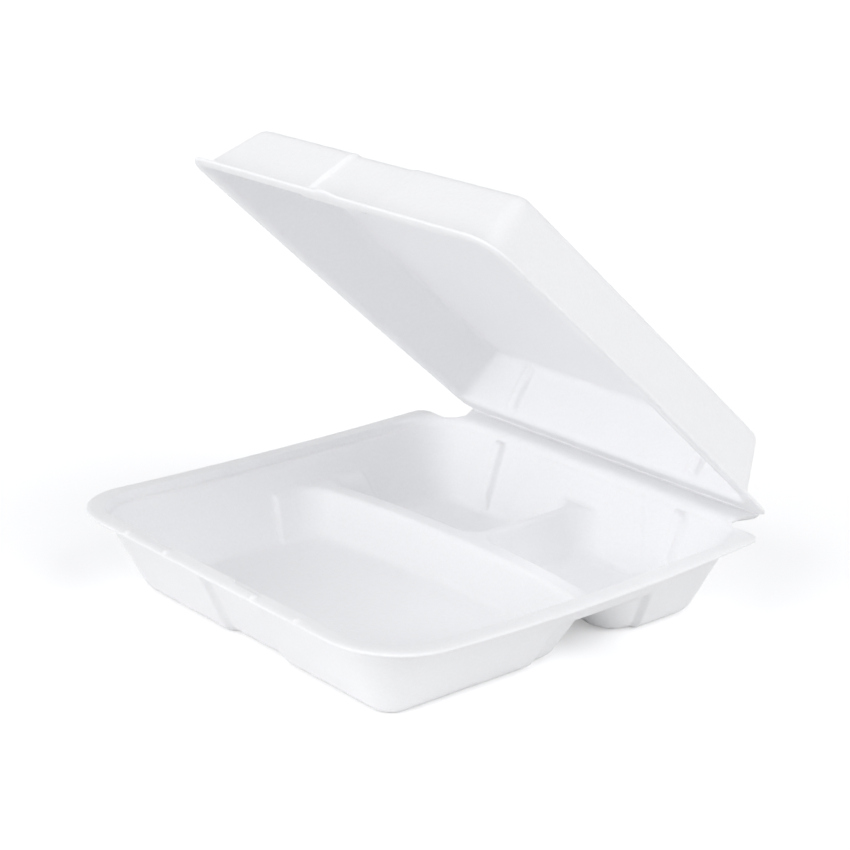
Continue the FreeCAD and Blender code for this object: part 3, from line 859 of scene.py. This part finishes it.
class Studio(bpy.types.PropertyGroup):
    """Floor, light and camera."""
    floor_colour: colour_setting("Floor", "Colour of the floor", (0.9, 0.9, 0.9))
    floor_seen: colour_setting("Floor as seen", "Colour of the floor seen directly, to make up for its dimmer light",
                               (1.35, 1.35, 1.35), most=2.0)
    floor_white: amount_setting("Floor white", "Share of plain white in the floor seen directly", 0.3)
    ambient: amount_setting("Ambient", "Strength of the light from all round", 0.66)
    overhead: amount_setting("Overhead", "Share of that light that comes from straight above", 0.55)
    ambient_colour: colour_setting("Ambient colour", "Colour of the light from all round", (0.965, 0.972, 1.0))
    low: amount_setting("Low lamp", "Strength of the broad lamp low in front, which reaches under the lid", 0.85)
    front: amount_setting("Front lamp", "Strength of the broad lamp in front and above", 0.75)
    right: amount_setting("Right lamp", "Strength of the broad lamp on the right", 1.05)
    azimuth: angle_setting("View azimuth", "Direction of the camera, from the front towards the right", 49.89)
    elevation: angle_setting("View elevation", "Height of the camera above the horizon", 18.58)
    roll: angle_setting("View roll", "Tilt of the camera about its own axis", 0.47)
    distance: length_setting("View distance", "Camera to target", 0.90496)
    target: FloatVectorProperty(name="Target", description="Point that the camera looks at",
                                default=(0.08844, -0.06192, 0.12379), subtype="TRANSLATION", unit="LENGTH")
    lens: FloatProperty(name="Lens", description="Focal length in millimetres", default=94.33, unit="CAMERA")


def foam():
    """The foam material, made once."""
    found = bpy.data.materials.get("white_foam")
    return found or foam_material(bpy.context.scene.clamshell_foam)


def settle(item, node):
    """Let a finished piece ride on its body, in its CAD node's place."""
    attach(item, node)
    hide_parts(node)


class CLAMSHELL_OT_tray(bpy.types.Operator):
    """Build the three-compartment tray."""
    bl_idname = "clamshell.tray"
    bl_label = "Tray"

    def execute(self, context):
        settle(build_tray(context.scene.clamshell_tray, foam()), "tray")
        return {"FINISHED"}


class CLAMSHELL_OT_lid(bpy.types.Operator):
    """Build the domed lid."""
    bl_idname = "clamshell.lid"
    bl_label = "Lid"

    def execute(self, context):
        settle(build_lid(context.scene.clamshell_lid, foam()), "lid")
        return {"FINISHED"}


class CLAMSHELL_OT_crease(bpy.types.Operator):
    """Build the living hinge between tray and lid."""
    bl_idname = "clamshell.crease"
    bl_label = "Crease"

    def execute(self, context):
        web = build_web(foam())
        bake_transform(web)
        return {"FINISHED"}


class CLAMSHELL_OT_studio(bpy.types.Operator):
    """Set up the floor, the light and the camera."""
    bl_idname = "clamshell.studio"
    bl_label = "Studio"

    def execute(self, context):
        studio = context.scene.clamshell_studio
        add_floor(studio)
        studio_world(studio)
        for name, azimuth, elevation in LAMPS:
            add_lamp(name + "_lamp", getattr(studio, name), azimuth, elevation)
        add_camera(studio)
        context.scene.view_settings.view_transform = "Standard"
        return {"FINISHED"}


OPERATORS = (CLAMSHELL_OT_tray, CLAMSHELL_OT_lid, CLAMSHELL_OT_crease, CLAMSHELL_OT_studio)
GROUPS = {"clamshell_tray": TraySizes, "clamshell_lid": LidSizes, "clamshell_foam": FoamFinish,
          "clamshell_studio": Studio}


class CLAMSHELL_PT_panel(bpy.types.Panel):
    """Sizes, finish and light of the clamshell, with a button for each step."""
    bl_idname = "CLAMSHELL_PT_panel"
    bl_label = "Foam clamshell"
    bl_space_type = "VIEW_3D"
    bl_region_type = "UI"
    bl_category = "Clamshell"

    def draw(self, context):
        for name, group in GROUPS.items():
            column = self.layout.box().column()
            for key in group.__annotations__:
                column.prop(getattr(context.scene, name), key)
        for operator in OPERATORS:
            self.layout.operator(operator.bl_idname)


def register():
    for group in (*GROUPS.values(), *OPERATORS, CLAMSHELL_PT_panel):
        bpy.utils.register_class(group)
    for name, group in GROUPS.items():
        setattr(bpy.types.Scene, name, PointerProperty(type=group))


def unregister():
    for name in GROUPS:
        delattr(bpy.types.Scene, name)
    for group in (CLAMSHELL_PT_panel, *reversed(OPERATORS), *reversed(list(GROUPS.values()))):
        bpy.utils.unregister_class(group)


def main():
    register()
    bpy.ops.clamshell.tray()
    bpy.ops.clamshell.lid()
    bpy.ops.clamshell.crease()
    bpy.ops.clamshell.studio()


if __name__ == "__main__":
    main()
